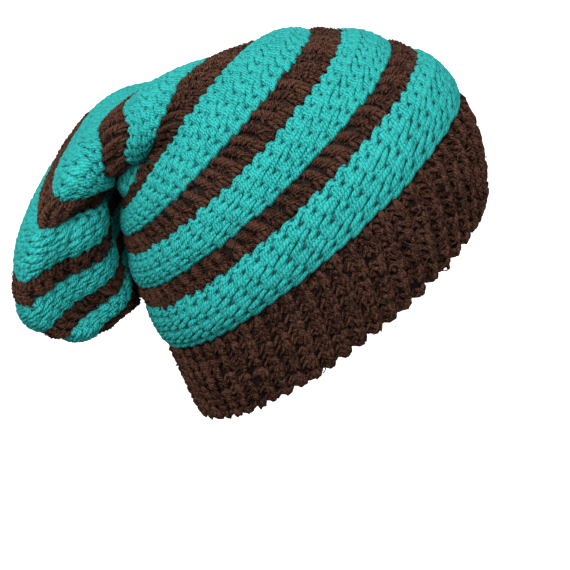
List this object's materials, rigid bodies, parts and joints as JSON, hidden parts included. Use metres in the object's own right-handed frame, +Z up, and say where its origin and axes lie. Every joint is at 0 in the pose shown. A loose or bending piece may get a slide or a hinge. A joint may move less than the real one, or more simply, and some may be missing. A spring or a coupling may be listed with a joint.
{
  "type": "slouchy hat",
  "caption": "Crocheted slouchy hat in its worn form: ribbed brim, striped crown, and a pouch that folds down behind with its gathered end tucked under.",
  "frame": {"origin": "centre of the rim's opening, where the hat sits on a head", "axes": "+Z up, -Y towards the forehead, +Y towards the pouch, -X the wearer's right side; the rim's plane rises 39 degrees towards the forehead"},
  "size_m": [0.1722, 0.2362, 0.2003],
  "materials": {
    "teal_yarn": "matte chunky acrylic yarn, crocheted",
    "brown_yarn": "matte chunky acrylic yarn, crocheted"
  },
  "bodies": {
    "root": {"brim": "brown_yarn", "teal_stripe_1": "teal_yarn", "brown_stripe_1": "brown_yarn", "teal_stripe_2": "teal_yarn", "brown_stripe_2": "brown_yarn", "teal_stripe_3": "teal_yarn", "brown_stripe_3": "brown_yarn", "teal_stripe_4": "teal_yarn", "brown_stripe_4": "brown_yarn", "teal_stripe_5": "teal_yarn", "brown_stripe_5": "brown_yarn", "teal_stripe_6": "teal_yarn", "brown_stripe_6": "brown_yarn", "teal_stripe_7": "teal_yarn", "brown_stripe_7": "brown_yarn", "teal_stripe_8": "teal_yarn", "brown_stripe_8": "brown_yarn", "crown_end": "brown_yarn"}
  },
  "joints": []
}
